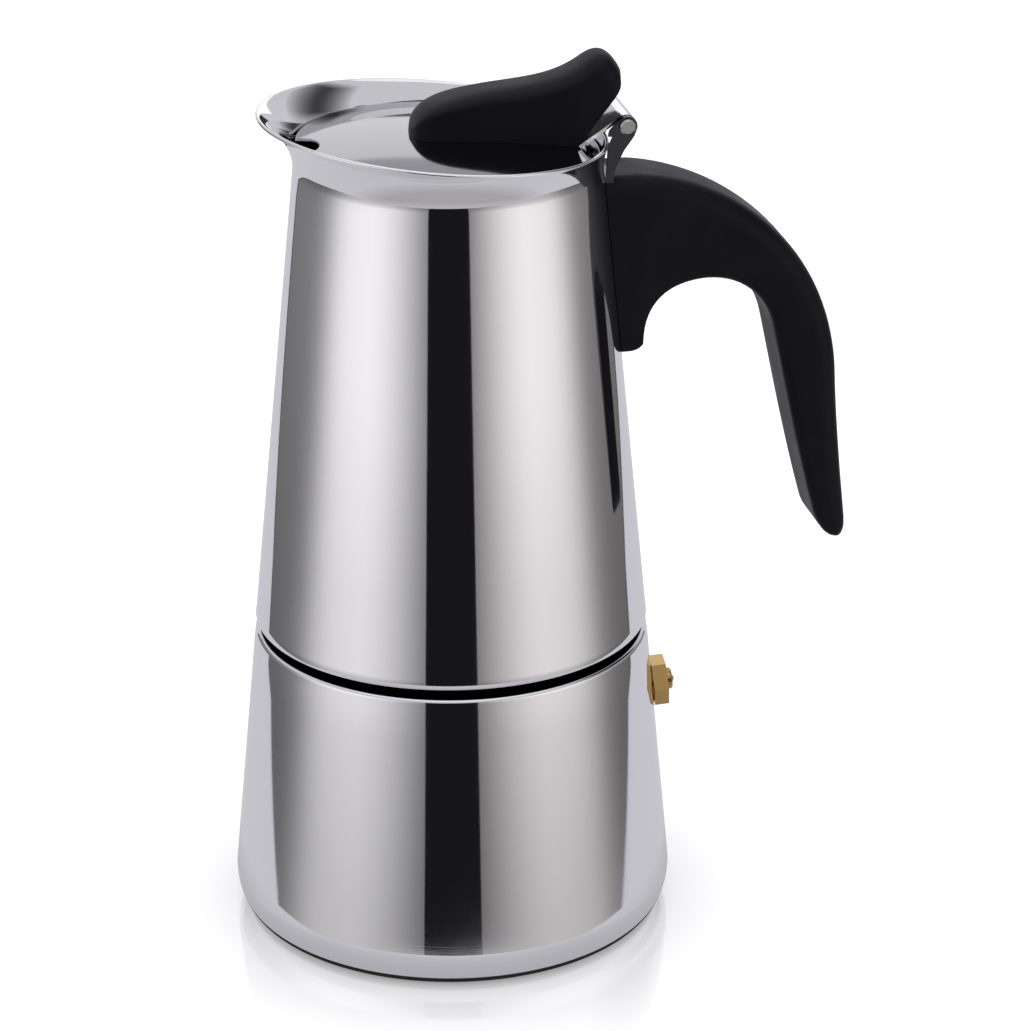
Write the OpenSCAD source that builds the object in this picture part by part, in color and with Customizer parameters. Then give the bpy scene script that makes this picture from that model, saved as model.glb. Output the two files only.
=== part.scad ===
// Stove-top moka pot with a tapered steel body, side handle and hinged lid.
// Millimetres. Origin at the centre of the base on the table, +Z up, handle along +X, spout along -X.

/* [Boiler] */
// Radius of the boiler where its straight wall leaves the base curve
base_r = 50; // [49:0.5:52]
// Height of the boiler's top edge
boiler_h = 68.2; // [67:0.1:68.6]
// Inward lean of the boiler wall, radius lost per unit of height
boiler_taper = 0.095; // [0.09:0.001:0.1]
// Sheet thickness of boiler and collector
sheet = 0.9; // [0.8:0.05:1]
// Thickness of the boiler's base plate
base_t = 2.5; // [2:0.1:3.5]

/* [Collector] */
// Radius of the collector's lower edge
collector_r = 44.2; // [44:0.1:44.6]
// Inward lean of the collector wall, radius lost per unit of height
collector_taper = 0.099; // [0.096:0.001:0.1]
// Radius of the bend that turns the wall out into the flared rim
flare_bend = 13.3; // [12.9:0.1:13.7]
// Height of the slanted rim over the pot's axis
rim_mid_z = 184.2; // [184:0.1:184.6]
// Fall of the rim towards the handle, height per unit of distance
rim_slope = 0.09; // [0.08:0.005:0.095]
// Height of the top of the riser tube
column_top = 150; // [135:1:160]
// Outer radius of the riser tube
column_r = 6; // [5.5:0.1:6]

/* [Thread and seal] */
// Rise of one turn of the thread
thread_pitch = 2.25; // [2:0.05:2.4]
// Thickness of the silicone seal
seal_t = 2.3; // [2:0.1:2.4]
// Radius of each hole in the filter plate
filter_hole_r = 0.55; // [0.4:0.05:0.7]

/* [Funnel] */
// Outer radius of the coffee basket
basket_r = 30; // [28:0.5:30]
// Height above the table of the lower end of the funnel's stem
stem_end_z = 6; // [5:0.5:12]

/* [Lid] */
// Radius of the lid's disc
lid_r = 33; // [32.6:0.1:33]
// Rise of the lid's middle over its edge
lid_dome = 2.6; // [2.5:0.05:2.7]
// Half width of the pour notch in the lid's edge
notch_r = 6.5; // [5:0.25:7]
// Half width of the thumb lever on the lid
lever_half_w = 7.4; // [7:0.1:8]

/* [Handle] */
// Half width of the handle at the body
handle_root_hw = 10.5; // [10.2:0.1:11.5]
// Half width of the handle at the grip
handle_grip_hw = 8; // [7:0.25:9.5]
// Radius of the handle's outer edges
handle_edge_r = 4.2; // [2:0.2:5]
// Radius of the handle's inner edges
handle_inner_r = 1.6; // [1:0.2:2.4]

/* [Safety valve] */
// Direction of the valve around the pot, measured from the handle
valve_turn = -6; // [-60:1:-2]
// Height of the valve's axis at the wall
valve_z = 50.4; // [49:0.1:54]
// Distance across the flats of the valve's hexagon
valve_af = 10; // [9.8:0.1:11]

/* [Hidden] */

steel = [0.80, 0.80, 0.82];
dark_steel = [0.62, 0.62, 0.64];
black = [0.06, 0.06, 0.07];
brass = [0.80, 0.62, 0.28];
silicone = [0.88, 0.87, 0.84];
fibre = [0.75, 0.30, 0.22];

lathe_fn = 96;
small_fn = 40;
big = 120;

// Boiler foot: an elliptical curve between the flat base and the straight wall
foot_h = 8.3;
foot_in = 4.2;
foot_steps = 8;
edge_r = 1;

// Neck that carries the outside thread, and the skirt that carries the inside thread
neck_r = 34.6;
neck_t = 1;
neck_top = 79;
thread_depth = 0.8;
thread_gap = 0.3;
skirt_t = 0.9;
ridge_count = 3;
ridge_z = 72.4;

// Stack of loose pieces clamped between the neck and the collector's floor
seat_gap = 0.05;
flange_t = 0.7;
seal_r = 35.3;
seal_bore_r = 30.6;
filter_r = 30.3;
filter_t = 0.6;
flange_r = 34.4;
stack_z = neck_top + seat_gap + flange_t + seat_gap;
floor_z = stack_z + seal_t + seat_gap;
floor_t = 1;

// Collector wall and flared rim
collector_z = 70.5;
flare_z = 175.8;
flare_top_angle = 66;
flare_steps = 12;
flange_gap = 0.1;

// Funnel
basket_t = 0.7;
basket_floor_z = 54.4;
stem_r = 4.6;
stem_t = 0.7;
cone_z = 45;
floor_plate_t = 0.6;

// Lid frame: the lid's disc leans with the rim, about the pot's axis
lid_mid_z = 183;
lid_tilt = 2.6;
lid_t = 0.8;
lid_steps = 10;
notch_x = -34.8;
dome_focus = lid_r * lid_r / (2 * lid_dome);

// Hinge at the handle side, axis along Y
pin_x = 37.8;
pin_z = 184.5;
pin_r = 1.5;
pin_head_r = 1.75;
knuckle_fit = 0.08;
ear_fit = 0.05;
strap_t = 0.75;
strap_hw = 7.2;
strap_foot_hw = 5;
strap_angle = 36;
strap_foot_x = 21;
ear_in = 7.6;
ear_out = 8.6;
ear_ring_r = 2.25;
head_t = 0.8;
head_gap = 0.05;

// Bracket on the wall, under the handle
bracket_t = 1.2;
bracket_hw = ear_out;
bracket_low_z = 134.5;
bracket_high_z = 173;
boss_t = 2.4;
boss_hw = 5;
boss_low_z = 138.5;
boss_h = 7;
screw_z = 142;
screw_r = 1.5;
screw_head_r = 2.8;
screw_seat_x = 41.2;
screw_start_x = 37.6;
screw_head_t = 1.7;
pocket_gap = 0.25;

// Thumb lever screw, from under the lid
lever_screw_x = 8;
lever_screw_r = 2;
lever_screw_head_r = 3.8;
lever_screw_len = 7;
lever_gap = 0.03;

// Valve, along its own outward axis from the boiler wall's outer face
valve_wall_r = base_r - boiler_taper * (valve_z - foot_h);
valve_lean = atan(boiler_taper);
valve_hole_r = 4.1;
shank_r = 4;
shank_in = -7;
valve_seat_s = -6;
valve_bore_r = 2.4;
orifice_r = 1.2;
valve_washer_t = 0.6;
valve_washer_r = 4.7;
valve_hex_low = 0.15;
valve_hex_h = 3.3;
valve_hex_top = valve_hex_low + valve_hex_h;
valve_cap_r = 2.45;
valve_cap_h = 1.3;
plunger_head_r = 2.3;
plunger_stem_r = 0.8;
plunger_head_top = -4.7;
spring_r = 1.7;
spring_wire_r = 0.28;
spring_turns = 5;
spring_sides = 6;
spring_steps = 16;

// ---------- shared formulas ----------

function boiler_wall_r(z) = base_r - boiler_taper * (z - foot_h);

function collector_wall_r(z) = collector_r - collector_taper * (z - collector_z);

function dome_drop(r) = r * r / (2 * dome_focus);

function bezier(p, t) =
    pow(1 - t, 3) * p[0]
    + 3 * t * pow(1 - t, 2) * p[1]
    + 3 * t * t * (1 - t) * p[2]
    + t * t * t * p[3];

function mix(a, b, t) = a + (b - a) * t;

// Section of one thread ridge on radius r: outward for a positive depth, inward for a negative one
function ridge(r, z, depth) =
    let (foot = 0.7 * sign(depth), crest = 0.1 * sign(depth))
    [[r, z - foot], [r + depth, z - crest], [r + depth, z + crest], [r, z + foot]];

// Closed tube of rings: every ring holds the same number of points
module loft(rings) {
    n = len(rings[0]);
    m = len(rings);
    pts = [for (r = rings) for (p = r) p];
    sides = [
        for (i = [0:m - 2]) for (j = [0:n - 1])
            [i * n + j, i * n + (j + 1) % n, (i + 1) * n + (j + 1) % n, (i + 1) * n + j]
    ];
    low = [[for (j = [n - 1:-1:0]) j]];
    high = [[for (j = [0:n - 1]) (m - 1) * n + j]];
    polyhedron(points = pts, faces = concat(sides, low, high), convexity = 6);
}

// Ring of a slab whose section runs in the XZ plane from a to b, hw wide each side.
// The edges along b are rounded by outer_r and those along a by inner_r.
function slab_ring(a, b, hw, inner_r, outer_r) =
    let (
        length = norm(b - a),
        u = (b - a) / length,
        ro = min(outer_r, length * 0.6, hw - 0.05),
        ri = min(inner_r, length * 0.35),
        centres = [[length - ro, hw - ro], [length - ro, ro - hw], [ri, ri - hw], [ri, hw - ri]],
        radii = [ro, ro, ri, ri],
        starts = [90, 0, -90, -180],
        steps = 5
    )
    [
        for (c = [0:3]) for (k = [0:steps])
            let (
                angle = starts[c] - 90 * k / steps,
                along = centres[c][0] + radii[c] * cos(angle),
                side = centres[c][1] + radii[c] * sin(angle)
            )
            [a[0] + u[0] * along, side, a[1] + u[1] * along]
    ];

module hexagon(af) {
    circle(r = af / 2 / cos(30), $fn = 6);
}

// Rings of small holes for a perforated disc
module hole_pattern(hole_r, spacing, max_r) {
    for (ring = [0:floor(max_r / spacing)]) {
        count = ring == 0 ? 1 : 6 * ring;
        for (i = [0:count - 1]) {
            rotate(i * 360 / count)
                translate([ring * spacing, 0])
                    circle(r = hole_r, $fn = 8);
        }
    }
}

// ---------- boiler ----------

module boiler_profile() {
    shoulder_z = boiler_h - sheet;
    top_r = boiler_wall_r(boiler_h);
    outer_foot = [
        for (k = [0:foot_steps])
            let (a = 90 * k / foot_steps)
            [base_r - foot_in + foot_in * sin(a), foot_h - foot_h * cos(a)]
    ];
    outer_edge = [
        for (k = [0:4])
            let (a = 90 * k / 4)
            [top_r - edge_r + edge_r * cos(a), boiler_h - edge_r + edge_r * sin(a)]
    ];
    inner_foot = [
        for (k = [foot_steps:-1:0])
            let (a = 90 * k / foot_steps)
            [
                base_r - sheet - foot_in + foot_in * sin(a),
                foot_h - (foot_h - base_t) * cos(a)
            ]
    ];
    polygon(concat(
        [[0, 0]],
        outer_foot,
        outer_edge,
        [
            [neck_r + edge_r, boiler_h],
            [neck_r, boiler_h + edge_r],
            [neck_r, neck_top],
            [neck_r - neck_t, neck_top],
            [neck_r - neck_t, boiler_h],
            [neck_r, shoulder_z],
            [top_r - edge_r, shoulder_z],
            [boiler_wall_r(boiler_h - edge_r) - sheet, boiler_h - edge_r - sheet]
        ],
        inner_foot,
        [[0, base_t]]
    ));
}

module boiler() {
    color(steel)
        difference() {
            rotate_extrude($fn = lathe_fn) {
                boiler_profile();
                for (i = [0:ridge_count - 1]) {
                    polygon(ridge(neck_r - 0.05, ridge_z + i * thread_pitch, thread_depth + 0.05));
                }
            }
            valve_frame()
                translate([0, 0, -5])
                    cylinder(r = valve_hole_r, h = 10, $fn = small_fn);
        }
}

// ---------- funnel, filter and seal ----------

module funnel() {
    z0 = neck_top + seat_gap;
    color(dark_steel)
        rotate_extrude($fn = lathe_fn)
            polygon([
                [basket_r - basket_t, z0 + flange_t],
                [flange_r, z0 + flange_t],
                [flange_r, z0],
                [basket_r, z0],
                [basket_r, basket_floor_z - 1],
                [stem_r, cone_z],
                [stem_r, stem_end_z],
                [stem_r - stem_t, stem_end_z],
                [stem_r - stem_t, cone_z],
                [basket_r - basket_t - 0.8, basket_floor_z - 0.6],
                [basket_r - basket_t, basket_floor_z - 0.1]
            ]);
}

module funnel_floor() {
    color(dark_steel)
        translate([0, 0, basket_floor_z])
            linear_extrude(height = floor_plate_t)
                difference() {
                    circle(r = basket_r - basket_t - 0.1, $fn = lathe_fn);
                    hole_pattern(0.75, 4.3, 26);
                }
}

module filter_plate() {
    color(dark_steel)
        translate([0, 0, stack_z])
            linear_extrude(height = filter_t)
                difference() {
                    circle(r = filter_r, $fn = lathe_fn);
                    hole_pattern(filter_hole_r, 3.9, 25);
                }
}

module seal_ring() {
    color(silicone)
        translate([0, 0, stack_z])
            rotate_extrude($fn = lathe_fn)
                polygon([[seal_bore_r, 0], [seal_r, 0], [seal_r, seal_t], [seal_bore_r, seal_t]]);
}

// ---------- collector ----------

function flare_point(reach, a) =
    [
        collector_wall_r(flare_z) + flare_bend - reach * cos(a),
        flare_z + reach * sin(a)
    ];

module collector_wall_profile() {
    outer_flare = [
        for (k = [0:flare_steps])
            flare_point(flare_bend, flare_top_angle * k / flare_steps)
    ];
    inner_flare = [
        for (k = [flare_steps:-1:0])
            flare_point(flare_bend + sheet, flare_top_angle * k / flare_steps)
    ];
    polygon(concat(
        [
            [collector_r - sheet, collector_z],
            [collector_r - 0.4, collector_z],
            [collector_r, collector_z + 0.4]
        ],
        outer_flare,
        inner_flare
    ));
}

module collector_wall() {
    color(steel)
        difference() {
            rotate_extrude($fn = lathe_fn) collector_wall_profile();
            translate([0, 0, rim_mid_z])
                rotate([0, atan(rim_slope), 0])
                    translate([-big / 2, -big / 2, 0])
                        cube([big, big, big / 4]);
        }
}

module collector_base() {
    crest_r = neck_r + thread_depth + thread_gap;
    root_r = crest_r + thread_depth;
    low_z = collector_z + flange_gap;
    color(dark_steel)
        rotate_extrude($fn = lathe_fn) {
            polygon([
                [root_r, low_z],
                [collector_r - sheet - flange_gap, low_z],
                [collector_r - sheet - flange_gap - collector_taper, low_z + 1],
                [root_r + skirt_t + 0.6, low_z + 1],
                [root_r + skirt_t, low_z + 1.6],
                [root_r + skirt_t, floor_z],
                [root_r, floor_z + floor_t],
                [column_r - 0.8, floor_z + floor_t],
                [column_r - 0.8, floor_z],
                [root_r, floor_z]
            ]);
            for (i = [0:ridge_count - 1]) {
                polygon(ridge(root_r + 0.05, ridge_z + thread_pitch / 2 + i * thread_pitch, -thread_depth - 0.05));
            }
        }
}

module column() {
    z0 = floor_z + floor_t + seat_gap;
    outlet_z = column_top - 7;
    outlet_r = 2.2;
    color(dark_steel)
        difference() {
            rotate_extrude($fn = small_fn)
                polygon([
                    [column_r - 0.8, z0],
                    [column_r + 3.5, z0],
                    [column_r + 3.5, z0 + 0.6],
                    [column_r + 0.8, z0 + 0.8],
                    [column_r, z0 + 1.8],
                    [column_r, column_top],
                    [column_r - 0.8, column_top]
                ]);
            translate([0, big / 2, outlet_z])
                rotate([90, 0, 0])
                    cylinder(r = outlet_r, h = big, $fn = small_fn);
        }
}

module column_cap() {
    z0 = column_top - 3;
    fit = 0.05;
    color(dark_steel)
        rotate_extrude($fn = small_fn)
            polygon([
                [column_r + fit, z0],
                [column_r + fit + 0.7, z0],
                [column_r + fit + 0.7, column_top],
                [column_r - 1, column_top + 1.6],
                [column_r / 2, column_top + 2.3],
                [0, column_top + 2.6],
                [0, column_top + 1.8],
                [column_r / 2, column_top + 1.4],
                [column_r - 1, column_top + 0.7],
                [column_r + fit, column_top + fit]
            ]);
}

// ---------- handle side: bracket, handle, screw, pin ----------

// Solid between the pot's axis and a cone that stands off the wall by gap
module wall_cone(gap, z0, z1) {
    rotate_extrude($fn = lathe_fn)
        polygon([
            [0, z0],
            [collector_wall_r(z0) + gap, z0],
            [collector_wall_r(z1) + gap, z1],
            [0, z1]
        ]);
}

module block_on_wall(gap, hw, z0, z1) {
    intersection() {
        wall_cone(gap, z0, z1);
        translate([0, -hw, z0])
            cube([big, 2 * hw, z1 - z0]);
    }
}

module ear_outline() {
    difference() {
        union() {
            translate([pin_x, pin_z]) circle(r = ear_ring_r, $fn = small_fn);
            polygon([
                [pin_x - 1.5, pin_z + 1.65],
                [pin_x, pin_z],
                [pin_x + 2.1, pin_z - 0.8],
                [pin_x + 1.6, pin_z - 2.1],
                [pin_x + 0.6, pin_z - 3.6],
                [pin_x - 0.6, pin_z - 5.2],
                [pin_x - 1.4, pin_z - 6.8],
                [pin_x - 2.2, pin_z - 8.6],
                [pin_x - 2.9, pin_z - 10.4],
                [pin_x - 3.1, pin_z - 17],
                [pin_x - 4.8, pin_z - 17],
                [pin_x - 4.4, pin_z - 9],
                [pin_x - 4.2, pin_z - 5],
                [pin_x - 4.3, pin_z - 2.6],
                [pin_x - 3.9, pin_z - 0.9]
            ]);
        }
        translate([pin_x, pin_z]) circle(r = pin_r + ear_fit, $fn = small_fn);
    }
}

module handle_bracket() {
    color(dark_steel)
        difference() {
            union() {
                block_on_wall(bracket_t, bracket_hw, bracket_low_z, bracket_high_z);
                block_on_wall(boss_t, boss_hw, boss_low_z, boss_low_z + boss_h);
                for (y = [-ear_out, ear_in]) {
                    translate([0, y + ear_out - ear_in, 0])
                        rotate([90, 0, 0])
                            linear_extrude(height = ear_out - ear_in)
                                ear_outline();
                }
            }
            wall_cone(seat_gap, bracket_low_z - 1, flare_z);
            rotate_extrude($fn = lathe_fn)
                polygon(concat(
                    [[0, flare_z - 0.01]],
                    [for (k = [0:6]) flare_point(flare_bend - 0.06, k * 5)],
                    [[0, flare_z + 7]]
                ));
            translate([30, 0, screw_z])
                rotate([0, 90, 0])
                    cylinder(r = screw_r + 0.05, h = 20, $fn = small_fn);
        }
}

outer_arch = [[34.2, 172.9], [56.5, 174.6], [85.2, 157], [87.5, 124]];
outer_grip = [[87.5, 124], [88, 112], [89.7, 98], [90.6, 87.8]];
inner_hook = [[41.6, 134.3], [41.6, 144], [47.5, 148.3], [56.5, 148.4]];
inner_arch = [[56.5, 148.4], [64.5, 148.2], [70.6, 143.2], [72.4, 134.9]];
inner_grip = [[72.4, 134.9], [74.9, 123.5], [78.6, 105], [82.9, 89.6]];

// Pairs of inner and outer outline points, from the body to the tip
handle_stations = concat(
    [
        [[collector_wall_r(133.1) - 1, 133.1], [collector_wall_r(172.8) - 1, 172.8]],
        [[39.8, 133.1], [35.6, 172.9]],
        [[41, 133.4], [37.2, 172.9]]
    ],
    [for (t = [0:0.2:1]) [bezier(inner_hook, t), bezier(outer_arch, 0.1 + 0.32 * t)]],
    [for (t = [0.2:0.2:1]) [bezier(inner_arch, t), bezier(outer_arch, 0.42 + 0.44 * t)]],
    [for (t = [0.15, 0.3]) [bezier(inner_grip, t), bezier(outer_arch, 0.86 + t * 0.46)]],
    [for (t = [0.45:0.11:1]) [bezier(inner_grip, t), bezier(outer_grip, (t - 0.3) / 0.7)]],
    [
        [[83.7, 87.4], [90.6, 86.2]],
        [[84.8, 85.6], [90.2, 84.6]],
        [[86.2, 84.2], [89.5, 83.5]],
        [[87.4, 83.5], [88.6, 83.1]]
    ]
);

function handle_hw(i) = mix(handle_root_hw, handle_grip_hw, min(1, i / 14));

module handle() {
    last = len(handle_stations) - 1;
    color(black)
        difference() {
            loft([
                for (i = [0:last])
                    let (s = handle_stations[i], tip = i < last - 2 ? 0 : i - last + 3)
                    slab_ring(s[0], s[1], handle_hw(i) - tip * tip * 0.35, handle_inner_r, handle_edge_r)
            ]);
            wall_cone(0.1, 120, 180);
            block_on_wall(bracket_t + pocket_gap, bracket_hw + pocket_gap, bracket_low_z - 0.6, flare_z + 4);
            block_on_wall(boss_t + pocket_gap, boss_hw + pocket_gap, boss_low_z - 0.5, boss_low_z + boss_h + 0.5);
            translate([0, -bracket_hw - pocket_gap, pin_z - 17.4])
                cube([pin_x - 2.3, 2 * (bracket_hw + pocket_gap), 20]);
            translate([30, 0, screw_z])
                rotate([0, 90, 0])
                    cylinder(r = screw_r + 0.2, h = 15, $fn = small_fn);
            translate([screw_seat_x, 0, screw_z])
                rotate([0, 90, 0])
                    cylinder(r = screw_head_r + 0.2, h = 8, $fn = small_fn);
        }
}

module handle_screw() {
    color(steel)
        translate([0, 0, screw_z])
            rotate([0, 90, 0])
                difference() {
                    rotate_extrude($fn = small_fn)
                        polygon([
                            [0, screw_start_x],
                            [screw_r - 0.4, screw_start_x],
                            [screw_r, screw_start_x + 0.4],
                            [screw_r, screw_seat_x + 0.05],
                            [screw_head_r, screw_seat_x + 0.05],
                            [screw_head_r, screw_seat_x + 0.9],
                            [screw_head_r - 0.9, screw_seat_x + screw_head_t],
                            [0, screw_seat_x + screw_head_t]
                        ]);
                    for (turn = [0, 90]) {
                        rotate([0, 0, turn])
                            translate([-1.6, -0.35, screw_seat_x + screw_head_t - 0.9])
                                cube([3.2, 0.7, 2]);
                    }
                }
}

module hinge_pin() {
    end = ear_out + head_gap;
    color(steel)
        translate([pin_x, 0, pin_z])
            rotate([90, 0, 0])
                rotate_extrude($fn = small_fn)
                    polygon([
                        [0, -end - head_t],
                        [pin_head_r - 0.35, -end - head_t],
                        [pin_head_r, -end - head_t + 0.3],
                        [pin_head_r, -end],
                        [pin_r, -end],
                        [pin_r, end],
                        [pin_head_r, end],
                        [pin_head_r, end + head_t - 0.3],
                        [pin_head_r - 0.35, end + head_t],
                        [0, end + head_t]
                    ]);
}

// ---------- lid ----------

module lid_frame() {
    translate([0, 0, lid_mid_z])
        rotate([0, lid_tilt, 0])
            children();
}

// The hinge pin's place in the lid's own frame
pin_in_lid = [
    pin_x * cos(lid_tilt) - (pin_z - lid_mid_z) * sin(lid_tilt),
    pin_x * sin(lid_tilt) + (pin_z - lid_mid_z) * cos(lid_tilt)
];

module lid_disc() {
    top = [for (k = [0:lid_steps]) let (r = lid_r * k / lid_steps) [r, -dome_drop(r)]];
    under = [for (k = [lid_steps:-1:0]) let (r = lid_r * k / lid_steps) [r, -dome_drop(r) - lid_t]];
    color(steel)
        lid_frame()
            difference() {
                rotate_extrude($fn = lathe_fn) polygon(concat(top, under));
                translate([notch_x, 0, -big / 8])
                    cylinder(r = notch_r, h = big / 4, $fn = small_fn);
                translate([lever_screw_x, 0, -5])
                    cylinder(r = lever_screw_r + 0.1, h = 10, $fn = small_fn);
            }
}

module strap_outline(whole) {
    along = [cos(strap_angle), sin(strap_angle)];
    up = [-sin(strap_angle), cos(strap_angle)];
    ring_in = pin_r + knuckle_fit;
    ring_out = ring_in + strap_t;
    far_low = pin_in_lid + ring_in * up;
    far_high = pin_in_lid + ring_out * up;
    foot_end = [27.93, 0.02 - dome_drop(27.93)];
    foot_start = [strap_foot_x, 0.02 - dome_drop(strap_foot_x)];
    bend_high_z = foot_end[1] + strap_t - 0.1;
    bend_high = far_high - along * ((far_high[1] - bend_high_z) / sin(strap_angle));
    bend_low = far_low - along * ((far_low[1] - foot_end[1]) / sin(strap_angle));
    if (whole) {
        difference() {
            union() {
                polygon([bend_low, far_low, far_high, bend_high]);
                translate(pin_in_lid) circle(r = ring_out, $fn = small_fn);
            }
            translate(pin_in_lid) circle(r = ring_in, $fn = small_fn);
        }
    } else {
        polygon([
            foot_start,
            bend_low,
            far_low - along * 6,
            far_high - along * 6,
            bend_high,
            foot_start + [0, strap_t]
        ]);
    }
}

module lid_strap() {
    color(steel)
        lid_frame()
            rotate([90, 0, 0]) {
                translate([0, 0, -strap_hw])
                    linear_extrude(height = 2 * strap_hw)
                        strap_outline(true);
                translate([0, 0, -strap_foot_hw])
                    linear_extrude(height = 2 * strap_foot_hw)
                        strap_outline(false);
            }
}

crest_nose = [[-8.5, 1], [-7.5, 5.7], [-3.2, 7.8], [3, 9.2]];
crest_back = [[3, 9.2], [14, 11.7], [22, 10.8], [29.2, 16.2]];
crest_tip = [[29.2, 16.2], [32, 18.4], [34.2, 19.3], [36.9, 14.6]];

// Pairs of base and crest points of the thumb lever, with the half width at the base
lever_stations = concat(
    [for (t = [0:0.2:1]) [[-8.3 + 10.5 * t * t, 0], bezier(crest_nose, t), sqrt(1 - pow(1 - t, 2))]],
    [for (t = [0.125:0.125:1]) [[2.2 + 20.8 * t, 0], bezier(crest_back, t), 1]],
    [for (t = [0.2:0.2:1]) [[23 + 3.4 * t, 0], bezier(crest_tip, t), 1]],
    [[[27.1, 0], [37.2, 12.1], 1]]
);

// Ring of the lever: flat sides up to a shoulder, then a rounded top
function lever_ring(base, crest, hw) =
    let (
        low = [base[0], lever_gap - dome_drop(norm([base[0], hw]))],
        shoulder = 0.76,
        top_steps = 8,
        taper = 0.93
    )
    concat(
        [[low[0], hw, low[1]]],
        [
            for (k = [0:top_steps])
                let (
                    a = 180 * k / top_steps,
                    s = shoulder + (1 - shoulder) * pow(sin(a), 0.8),
                    x = mix(low[0], crest[0], s),
                    z = mix(low[1], crest[1], s),
                    side = abs(cos(a)) < 0.001 ? 0 : sign(cos(a)) * pow(abs(cos(a)), 0.8)
                )
                [x, hw * taper * side, z]
        ],
        [[low[0], -hw, low[1]]]
    );

module thumb_lever() {
    color(black)
        lid_frame()
            difference() {
                loft([
                    for (s = lever_stations)
                        lever_ring(s[0], s[1], max(0.6, lever_half_w * s[2]))
                ]);
                translate([strap_foot_x - 0.3, -strap_foot_hw - 0.2, -3])
                    cube([big / 4, 2 * strap_foot_hw + 0.4, 3 - dome_drop(strap_foot_x) + strap_t + 0.1]);
                translate([lever_screw_x, 0, -2])
                    cylinder(r = lever_screw_r + 0.05, h = lever_screw_len + 2, $fn = small_fn);
                rotate_extrude($fn = lathe_fn)
                    polygon(concat(
                        [[0, -6]],
                        [[lid_r, -6]],
                        [
                            for (k = [lid_steps:-1:0])
                                let (r = lid_r * k / lid_steps)
                                [r, lever_gap - dome_drop(r)]
                        ]
                    ));
            }
}

module lever_screw() {
    seat = -lid_t - dome_drop(lever_screw_x + lever_screw_head_r) - 0.03;
    color(steel)
        lid_frame()
            translate([lever_screw_x, 0, 0])
                rotate_extrude($fn = small_fn)
                    polygon([
                        [0, seat - 1.8],
                        [lever_screw_head_r - 1.2, seat - 1.8],
                        [lever_screw_head_r, seat - 0.7],
                        [lever_screw_head_r, seat],
                        [lever_screw_r, seat],
                        [lever_screw_r, lever_screw_len - 1],
                        [lever_screw_r - 0.7, lever_screw_len - 0.2],
                        [0, lever_screw_len - 0.2]
                    ]);
}

// ---------- safety valve ----------

module valve_frame() {
    rotate([0, 0, valve_turn])
        translate([valve_wall_r, 0, valve_z])
            rotate([0, 90 - valve_lean, 0])
                children();
}

module valve_body() {
    recess_r = valve_washer_r + 0.1;
    recess_top = valve_washer_t + 0.1;
    color(brass)
        valve_frame()
            difference() {
                union() {
                    difference() {
                        translate([0, 0, valve_hex_low])
                            linear_extrude(height = valve_hex_h)
                                rotate(90) hexagon(valve_af);
                        translate([0, 0, recess_top - 2])
                            cylinder(r = recess_r, h = 2, $fn = small_fn);
                    }
                    translate([0, 0, shank_in])
                        cylinder(r = shank_r, h = recess_top - shank_in + 0.5, $fn = small_fn);
                }
                translate([0, 0, valve_seat_s])
                    cylinder(r = valve_bore_r, h = 20, $fn = small_fn);
                translate([0, 0, shank_in - 1])
                    cylinder(r = orifice_r, h = 3, $fn = small_fn);
            }
}

module valve_washer() {
    color(fibre)
        valve_frame()
            translate([0, 0, 0.05])
                difference() {
                    cylinder(r = valve_washer_r, h = valve_washer_t, $fn = small_fn);
                    translate([0, 0, -1])
                        cylinder(r = shank_r + 0.1, h = 3, $fn = small_fn);
                }
}

module valve_nut() {
    nut_af = 12;
    nut_h = 2.6;
    nut_top = -sheet - 0.65;
    color(brass)
        valve_frame()
            translate([0, 0, nut_top - nut_h])
                difference() {
                    linear_extrude(height = nut_h)
                        rotate(90) hexagon(nut_af);
                    translate([0, 0, -1])
                        cylinder(r = shank_r + 0.05, h = nut_h + 2, $fn = small_fn);
                }
}

module valve_plunger() {
    color(dark_steel)
        valve_frame()
            rotate_extrude($fn = small_fn)
                polygon([
                    [0, valve_seat_s + 0.05],
                    [plunger_head_r - 0.5, valve_seat_s + 0.05],
                    [plunger_head_r, valve_seat_s + 0.5],
                    [plunger_head_r, plunger_head_top],
                    [plunger_stem_r, plunger_head_top],
                    [plunger_stem_r, valve_hex_top + valve_cap_h + 0.2],
                    [plunger_stem_r - 0.3, valve_hex_top + valve_cap_h + 0.5],
                    [0, valve_hex_top + valve_cap_h + 0.5]
                ]);
}

module valve_spring() {
    low = plunger_head_top + spring_wire_r + 0.06;
    high = valve_hex_top - spring_wire_r - 0.06;
    count = spring_turns * spring_steps;
    color(steel)
        valve_frame()
            loft([
                for (i = [0:count])
                    let (a = i * 360 / spring_steps, z = mix(low, high, i / count))
                    [
                        for (j = [0:spring_sides - 1])
                            let (
                                b = -j * 360 / spring_sides,
                                r = spring_r + spring_wire_r * cos(b)
                            )
                            [r * cos(a), r * sin(a), z + spring_wire_r * sin(b)]
                    ]
            ]);
}

module valve_cap() {
    color(brass)
        valve_frame()
            translate([0, 0, valve_hex_top + 0.02])
                rotate_extrude($fn = small_fn)
                    polygon([
                        [plunger_stem_r + 0.08, 0],
                        [valve_cap_r, 0],
                        [valve_cap_r, valve_cap_h - 0.4],
                        [valve_cap_r - 0.4, valve_cap_h],
                        [plunger_stem_r + 0.4, valve_cap_h],
                        [plunger_stem_r + 0.08, valve_cap_h - 0.3]
                    ]);
}

// ---------- nodes ----------

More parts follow.
